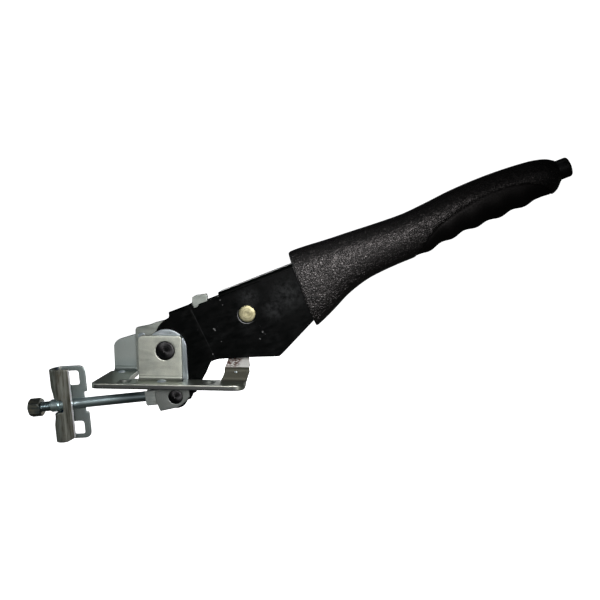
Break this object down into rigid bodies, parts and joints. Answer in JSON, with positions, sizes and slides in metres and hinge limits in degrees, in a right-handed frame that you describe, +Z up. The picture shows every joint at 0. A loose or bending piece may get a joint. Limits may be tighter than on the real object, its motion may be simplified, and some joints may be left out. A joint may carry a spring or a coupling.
{
  "type": "car hand brake lever",
  "caption": "Hand brake lever for a car: pressed bracket, ratchet and pawl, black lever with soft grip and push button, pull rod with cable equalizer and adjuster nut.",
  "frame": {"origin": "middle of the two bolt holes, on the underside of the bracket's base plate", "axes": "+X towards the grip, along the base plate; +Z up, square to the base plate; the pivot runs along Y and the front strip with the bolt holes lies at -Y of the lever"},
  "size_m": [0.4148, 0.0529, 0.2215],
  "materials": {
    "zinc_steel": "zinc-plated pressed steel, satin",
    "bright_zinc": "bright zinc-plated steel",
    "dark_steel": "dark oiled steel, turned",
    "hard_steel": "hardened steel, grey-black",
    "rod_steel": "plain drawn steel",
    "nut_steel": "blued steel with worn edges",
    "black_paint": "black paint, half gloss, scuffed",
    "bush_bronze": "sintered bronze, dull",
    "pin_brass": "yellow-passivated pin, turned face",
    "grip_skin": "soft black skin with a leather grain",
    "button_plastic": "black plastic, half gloss",
    "black_plastic": "black plastic, matt",
    "pale_plastic": "natural nylon"
  },
  "bodies": {
    "base": {"base_bracket": "zinc_steel", "ratchet_sector": "zinc_steel", "sector_rivets": "zinc_steel", "pivot_pin": "dark_steel", "pivot_pin_clip": "dark_steel"},
    "lever": {"lever_channel": "black_paint", "arm_plate_front": "bright_zinc", "arm_plate_rear": "bright_zinc", "pivot_bushes": "bush_bronze", "lever_tube": "dark_steel", "grip": "grip_skin", "button_guide": "black_plastic", "rod_guide": "pale_plastic", "spring_seat": "dark_steel", "pawl_pin": "pin_brass", "pawl_pin_clip": "dark_steel", "clevis_pin": "dark_steel", "clevis_pin_clip": "dark_steel", "return_spring": "rod_steel"},
    "button": {"button": "button_plastic", "push_rod": "rod_steel", "link_pin": "rod_steel", "rod_collar": "dark_steel"},
    "pawl": {"pawl": "hard_steel"},
    "rod": {"clevis": "bright_zinc", "pull_rod": "rod_steel", "clevis_nut": "nut_steel"},
    "seat": {"seat_sleeve": "rod_steel"},
    "equalizer": {"equalizer_bar": "zinc_steel"},
    "nut": {"adjuster_nut": "nut_steel"}
  },
  "joints": [
    {"name": "lever_swing", "type": "hinge", "parent": "base", "child": "lever", "pos_m": [-0.002, 0.023, 0.0265], "axis": [0, -1, 0], "range_deg": [0, 36]},
    {"name": "button_press", "type": "slide", "parent": "lever", "child": "button", "axis": [-0.9304, 0, -0.3665], "range_m": [-0.002, 0.005], "stiffness_N_per_m": 900, "springref_m": -0.004, "deforming": ["return_spring"]},
    {"name": "pawl_tilt", "type": "hinge", "parent": "lever", "child": "pawl", "pos_m": [0.0599, 0.023, 0.0547], "axis": [0, -1, 0], "range_deg": [-7.5, 18.7]},
    {"name": "rod_swing", "type": "hinge", "parent": "lever", "child": "rod", "pos_m": [0.0041, 0.023, -0.0103], "axis": [0, -1, 0], "range_deg": [-12, 80]},
    {"name": "seat_slide", "type": "slide", "parent": "rod", "child": "seat", "axis": [0.9928, 0, 0.1201], "range_m": [-0.007, 0.004]},
    {"name": "equalizer_rock", "type": "hinge", "parent": "seat", "child": "equalizer", "pos_m": [-0.09617, 0.023, -0.02243], "axis": [0, 1, 0], "range_deg": [-8, 8]},
    {"name": "nut_turn", "type": "hinge", "parent": "rod", "child": "nut", "pos_m": [-0.11056, 0.023, -0.02418], "axis": [0.9928, 0, 0.1201], "continuous": true}
  ],
  "couplings": [
    {"joint": "pawl_tilt", "follows": "button_press", "rad_per_m": 64.72}
  ]
}
